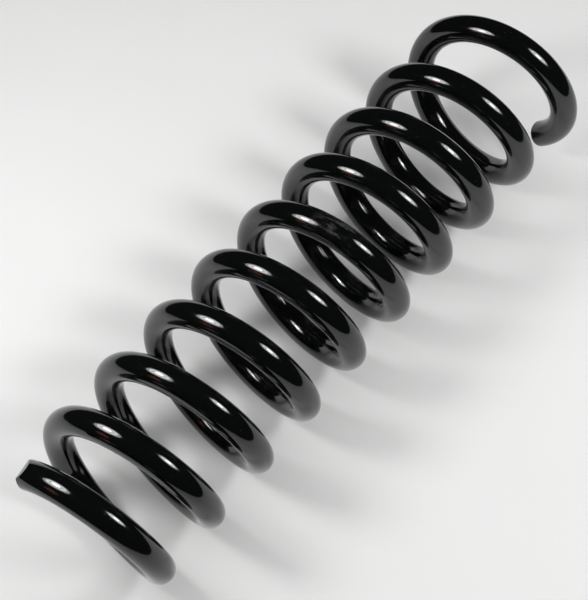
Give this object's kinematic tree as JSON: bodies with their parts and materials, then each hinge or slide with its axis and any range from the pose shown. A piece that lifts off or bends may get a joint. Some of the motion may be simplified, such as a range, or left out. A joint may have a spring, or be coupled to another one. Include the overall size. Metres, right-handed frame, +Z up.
{
  "type": "coil spring",
  "caption": "Open-ended right-hand compression spring of thick round wire in gloss black, which squeezes along its axis; for a car's suspension.",
  "frame": {"origin": "on the bench under the middle of the spring, which lies on its side, at the bottom centre of its box", "axes": "+X along the coil's axis from the near tip to the far tip, +Z up from the bench"},
  "size_m": [0.3428, 0.0933, 0.0924],
  "materials": {
    "black_coating": "gloss"
  },
  "bodies": {
    "coil_01_quarter_1": {"coil_01_quarter_1": "black_coating"},
    "coil_01_quarter_2": {"coil_01_quarter_2": "black_coating"},
    "coil_01_quarter_3": {"coil_01_quarter_3": "black_coating"},
    "coil_01_quarter_4": {"coil_01_quarter_4": "black_coating"},
    "coil_02_quarter_1": {"coil_02_quarter_1": "black_coating"},
    "coil_02_quarter_2": {"coil_02_quarter_2": "black_coating"},
    "coil_02_quarter_3": {"coil_02_quarter_3": "black_coating"},
    "coil_02_quarter_4": {"coil_02_quarter_4": "black_coating"},
    "coil_03_quarter_1": {"coil_03_quarter_1": "black_coating"},
    "coil_03_quarter_2": {"coil_03_quarter_2": "black_coating"},
    "coil_03_quarter_3": {"coil_03_quarter_3": "black_coating"},
    "coil_03_quarter_4": {"coil_03_quarter_4": "black_coating"},
    "coil_04_quarter_1": {"coil_04_quarter_1": "black_coating"},
    "coil_04_quarter_2": {"coil_04_quarter_2": "black_coating"},
    "coil_04_quarter_3": {"coil_04_quarter_3": "black_coating"},
    "coil_04_quarter_4": {"coil_04_quarter_4": "black_coating"},
    "coil_05_quarter_1": {"coil_05_quarter_1": "black_coating"},
    "coil_05_quarter_2": {"coil_05_quarter_2": "black_coating"},
    "coil_05_quarter_3": {"coil_05_quarter_3": "black_coating"},
    "coil_05_quarter_4": {"coil_05_quarter_4": "black_coating"},
    "coil_06_quarter_1": {"coil_06_quarter_1": "black_coating"},
    "coil_06_quarter_2": {"coil_06_quarter_2": "black_coating"},
    "coil_06_quarter_3": {"coil_06_quarter_3": "black_coating"},
    "coil_06_quarter_4": {"coil_06_quarter_4": "black_coating"},
    "coil_07_quarter_1": {"coil_07_quarter_1": "black_coating"},
    "coil_07_quarter_2": {"coil_07_quarter_2": "black_coating"},
    "coil_07_quarter_3": {"coil_07_quarter_3": "black_coating"},
    "coil_07_quarter_4": {"coil_07_quarter_4": "black_coating"},
    "coil_08_quarter_1": {"coil_08_quarter_1": "black_coating"},
    "coil_08_quarter_2": {"coil_08_quarter_2": "black_coating"},
    "coil_08_quarter_3": {"coil_08_quarter_3": "black_coating"},
    "coil_08_quarter_4": {"coil_08_quarter_4": "black_coating"},
    "coil_09_quarter_1": {"coil_09_quarter_1": "black_coating"},
    "coil_09_quarter_2": {"coil_09_quarter_2": "black_coating"},
    "coil_09_quarter_3": {"coil_09_quarter_3": "black_coating"},
    "coil_09_quarter_4": {"coil_09_quarter_4": "black_coating"},
    "coil_10_quarter_1": {"coil_10_quarter_1": "black_coating"},
    "coil_10_quarter_2": {"coil_10_quarter_2": "black_coating"}
  },
  "joints": [
    {"name": "squeeze_01", "type": "slide", "parent": "coil_01_quarter_1", "child": "coil_01_quarter_2", "axis": [-1, 0, 0], "range_m": [0, 0.0045], "stiffness_N_per_m": 3130000},
    {"name": "squeeze_02", "type": "slide", "parent": "coil_01_quarter_2", "child": "coil_01_quarter_3", "axis": [-1, 0, 0], "range_m": [0, 0.0045], "stiffness_N_per_m": 3130000},
    {"name": "squeeze_03", "type": "slide", "parent": "coil_01_quarter_3", "child": "coil_01_quarter_4", "axis": [-1, 0, 0], "range_m": [0, 0.0045], "stiffness_N_per_m": 3130000},
    {"name": "squeeze_04", "type": "slide", "parent": "coil_01_quarter_4", "child": "coil_02_quarter_1", "axis": [-1, 0, 0], "range_m": [0, 0.0045], "stiffness_N_per_m": 3130000},
    {"name": "squeeze_05", "type": "slide", "parent": "coil_02_quarter_1", "child": "coil_02_quarter_2", "axis": [-1, 0, 0], "range_m": [0, 0.0045], "stiffness_N_per_m": 3130000},
    {"name": "squeeze_06", "type": "slide", "parent": "coil_02_quarter_2", "child": "coil_02_quarter_3", "axis": [-1, 0, 0], "range_m": [0, 0.0045], "stiffness_N_per_m": 3130000},
    {"name": "squeeze_07", "type": "slide", "parent": "coil_02_quarter_3", "child": "coil_02_quarter_4", "axis": [-1, 0, 0], "range_m": [0, 0.0045], "stiffness_N_per_m": 3130000},
    {"name": "squeeze_08", "type": "slide", "parent": "coil_02_quarter_4", "child": "coil_03_quarter_1", "axis": [-1, 0, 0], "range_m": [0, 0.0045], "stiffness_N_per_m": 3130000},
    {"name": "squeeze_09", "type": "slide", "parent": "coil_03_quarter_1", "child": "coil_03_quarter_2", "axis": [-1, 0, 0], "range_m": [0, 0.0045], "stiffness_N_per_m": 3130000},
    {"name": "squeeze_10", "type": "slide", "parent": "coil_03_quarter_2", "child": "coil_03_quarter_3", "axis": [-1, 0, 0], "range_m": [0, 0.0045], "stiffness_N_per_m": 3130000},
    {"name": "squeeze_11", "type": "slide", "parent": "coil_03_quarter_3", "child": "coil_03_quarter_4", "axis": [-1, 0, 0], "range_m": [0, 0.0045], "stiffness_N_per_m": 3130000},
    {"name": "squeeze_12", "type": "slide", "parent": "coil_03_quarter_4", "child": "coil_04_quarter_1", "axis": [-1, 0, 0], "range_m": [0, 0.0045], "stiffness_N_per_m": 3130000},
    {"name": "squeeze_13", "type": "slide", "parent": "coil_04_quarter_1", "child": "coil_04_quarter_2", "axis": [-1, 0, 0], "range_m": [0, 0.0045], "stiffness_N_per_m": 3130000},
    {"name": "squeeze_14", "type": "slide", "parent": "coil_04_quarter_2", "child": "coil_04_quarter_3", "axis": [-1, 0, 0], "range_m": [0, 0.0045], "stiffness_N_per_m": 3130000},
    {"name": "squeeze_15", "type": "slide", "parent": "coil_04_quarter_3", "child": "coil_04_quarter_4", "axis": [-1, 0, 0], "range_m": [0, 0.0045], "stiffness_N_per_m": 3130000},
    {"name": "squeeze_16", "type": "slide", "parent": "coil_04_quarter_4", "child": "coil_05_quarter_1", "axis": [-1, 0, 0], "range_m": [0, 0.0045], "stiffness_N_per_m": 3130000},
    {"name": "squeeze_17", "type": "slide", "parent": "coil_05_quarter_1", "child": "coil_05_quarter_2", "axis": [-1, 0, 0], "range_m": [0, 0.0045], "stiffness_N_per_m": 3130000},
    {"name": "squeeze_18", "type": "slide", "parent": "coil_05_quarter_2", "child": "coil_05_quarter_3", "axis": [-1, 0, 0], "range_m": [0, 0.0045], "stiffness_N_per_m": 3130000},
    {"name": "squeeze_19", "type": "slide", "parent": "coil_05_quarter_3", "child": "coil_05_quarter_4", "axis": [-1, 0, 0], "range_m": [0, 0.0045], "stiffness_N_per_m": 3130000},
    {"name": "squeeze_20", "type": "slide", "parent": "coil_05_quarter_4", "child": "coil_06_quarter_1", "axis": [-1, 0, 0], "range_m": [0, 0.0045], "stiffness_N_per_m": 3130000},
    {"name": "squeeze_21", "type": "slide", "parent": "coil_06_quarter_1", "child": "coil_06_quarter_2", "axis": [-1, 0, 0], "range_m": [0, 0.0045], "stiffness_N_per_m": 3130000},
    {"name": "squeeze_22", "type": "slide", "parent": "coil_06_quarter_2", "child": "coil_06_quarter_3", "axis": [-1, 0, 0], "range_m": [0, 0.0045], "stiffness_N_per_m": 3130000},
    {"name": "squeeze_23", "type": "slide", "parent": "coil_06_quarter_3", "child": "coil_06_quarter_4", "axis": [-1, 0, 0], "range_m": [0, 0.0045], "stiffness_N_per_m": 3130000},
    {"name": "squeeze_24", "type": "slide", "parent": "coil_06_quarter_4", "child": "coil_07_quarter_1", "axis": [-1, 0, 0], "range_m": [0, 0.0045], "stiffness_N_per_m": 3130000},
    {"name": "squeeze_25", "type": "slide", "parent": "coil_07_quarter_1", "child": "coil_07_quarter_2", "axis": [-1, 0, 0], "range_m": [0, 0.0045], "stiffness_N_per_m": 3130000},
    {"name": "squeeze_26", "type": "slide", "parent": "coil_07_quarter_2", "child": "coil_07_quarter_3", "axis": [-1, 0, 0], "range_m": [0, 0.0045], "stiffness_N_per_m": 3130000},
    {"name": "squeeze_27", "type": "slide", "parent": "coil_07_quarter_3", "child": "coil_07_quarter_4", "axis": [-1, 0, 0], "range_m": [0, 0.0045], "stiffness_N_per_m": 3130000},
    {"name": "squeeze_28", "type": "slide", "parent": "coil_07_quarter_4", "child": "coil_08_quarter_1", "axis": [-1, 0, 0], "range_m": [0, 0.0045], "stiffness_N_per_m": 3130000},
    {"name": "squeeze_29", "type": "slide", "parent": "coil_08_quarter_1", "child": "coil_08_quarter_2", "axis": [-1, 0, 0], "range_m": [0, 0.0045], "stiffness_N_per_m": 3130000},
    {"name": "squeeze_30", "type": "slide", "parent": "coil_08_quarter_2", "child": "coil_08_quarter_3", "axis": [-1, 0, 0], "range_m": [0, 0.0045], "stiffness_N_per_m": 3130000},
    {"name": "squeeze_31", "type": "slide", "parent": "coil_08_quarter_3", "child": "coil_08_quarter_4", "axis": [-1, 0, 0], "range_m": [0, 0.0045], "stiffness_N_per_m": 3130000},
    {"name": "squeeze_32", "type": "slide", "parent": "coil_08_quarter_4", "child": "coil_09_quarter_1", "axis": [-1, 0, 0], "range_m": [0, 0.0045], "stiffness_N_per_m": 3130000},
    {"name": "squeeze_33", "type": "slide", "parent": "coil_09_quarter_1", "child": "coil_09_quarter_2", "axis": [-1, 0, 0], "range_m": [0, 0.0045], "stiffness_N_per_m": 3130000},
    {"name": "squeeze_34", "type": "slide", "parent": "coil_09_quarter_2", "child": "coil_09_quarter_3", "axis": [-1, 0, 0], "range_m": [0, 0.0045], "stiffness_N_per_m": 3130000},
    {"name": "squeeze_35", "type": "slide", "parent": "coil_09_quarter_3", "child": "coil_09_quarter_4", "axis": [-1, 0, 0], "range_m": [0, 0.0045], "stiffness_N_per_m": 3130000},
    {"name": "squeeze_36", "type": "slide", "parent": "coil_09_quarter_4", "child": "coil_10_quarter_1", "axis": [-1, 0, 0], "range_m": [0, 0.0045], "stiffness_N_per_m": 3130000},
    {"name": "squeeze_37", "type": "slide", "parent": "coil_10_quarter_1", "child": "coil_10_quarter_2", "axis": [-1, 0, 0], "range_m": [0, 0.0045], "stiffness_N_per_m": 3130000}
  ],
  "couplings": [
    {"joint": "squeeze_02", "follows": "squeeze_01", "ratio": 1},
    {"joint": "squeeze_03", "follows": "squeeze_01", "ratio": 1},
    {"joint": "squeeze_04", "follows": "squeeze_01", "ratio": 1},
    {"joint": "squeeze_05", "follows": "squeeze_01", "ratio": 1},
    {"joint": "squeeze_06", "follows": "squeeze_01", "ratio": 1},
    {"joint": "squeeze_07", "follows": "squeeze_01", "ratio": 1},
    {"joint": "squeeze_08", "follows": "squeeze_01", "ratio": 1},
    {"joint": "squeeze_09", "follows": "squeeze_01", "ratio": 1},
    {"joint": "squeeze_10", "follows": "squeeze_01", "ratio": 1},
    {"joint": "squeeze_11", "follows": "squeeze_01", "ratio": 1},
    {"joint": "squeeze_12", "follows": "squeeze_01", "ratio": 1},
    {"joint": "squeeze_13", "follows": "squeeze_01", "ratio": 1},
    {"joint": "squeeze_14", "follows": "squeeze_01", "ratio": 1},
    {"joint": "squeeze_15", "follows": "squeeze_01", "ratio": 1},
    {"joint": "squeeze_16", "follows": "squeeze_01", "ratio": 1},
    {"joint": "squeeze_17", "follows": "squeeze_01", "ratio": 1},
    {"joint": "squeeze_18", "follows": "squeeze_01", "ratio": 1},
    {"joint": "squeeze_19", "follows": "squeeze_01", "ratio": 1},
    {"joint": "squeeze_20", "follows": "squeeze_01", "ratio": 1},
    {"joint": "squeeze_21", "follows": "squeeze_01", "ratio": 1},
    {"joint": "squeeze_22", "follows": "squeeze_01", "ratio": 1},
    {"joint": "squeeze_23", "follows": "squeeze_01", "ratio": 1},
    {"joint": "squeeze_24", "follows": "squeeze_01", "ratio": 1},
    {"joint": "squeeze_25", "follows": "squeeze_01", "ratio": 1},
    {"joint": "squeeze_26", "follows": "squeeze_01", "ratio": 1},
    {"joint": "squeeze_27", "follows": "squeeze_01", "ratio": 1},
    {"joint": "squeeze_28", "follows": "squeeze_01", "ratio": 1},
    {"joint": "squeeze_29", "follows": "squeeze_01", "ratio": 1},
    {"joint": "squeeze_30", "follows": "squeeze_01", "ratio": 1},
    {"joint": "squeeze_31", "follows": "squeeze_01", "ratio": 1},
    {"joint": "squeeze_32", "follows": "squeeze_01", "ratio": 1},
    {"joint": "squeeze_33", "follows": "squeeze_01", "ratio": 1},
    {"joint": "squeeze_34", "follows": "squeeze_01", "ratio": 1},
    {"joint": "squeeze_35", "follows": "squeeze_01", "ratio": 1},
    {"joint": "squeeze_36", "follows": "squeeze_01", "ratio": 1},
    {"joint": "squeeze_37", "follows": "squeeze_01", "ratio": 1}
  ]
}
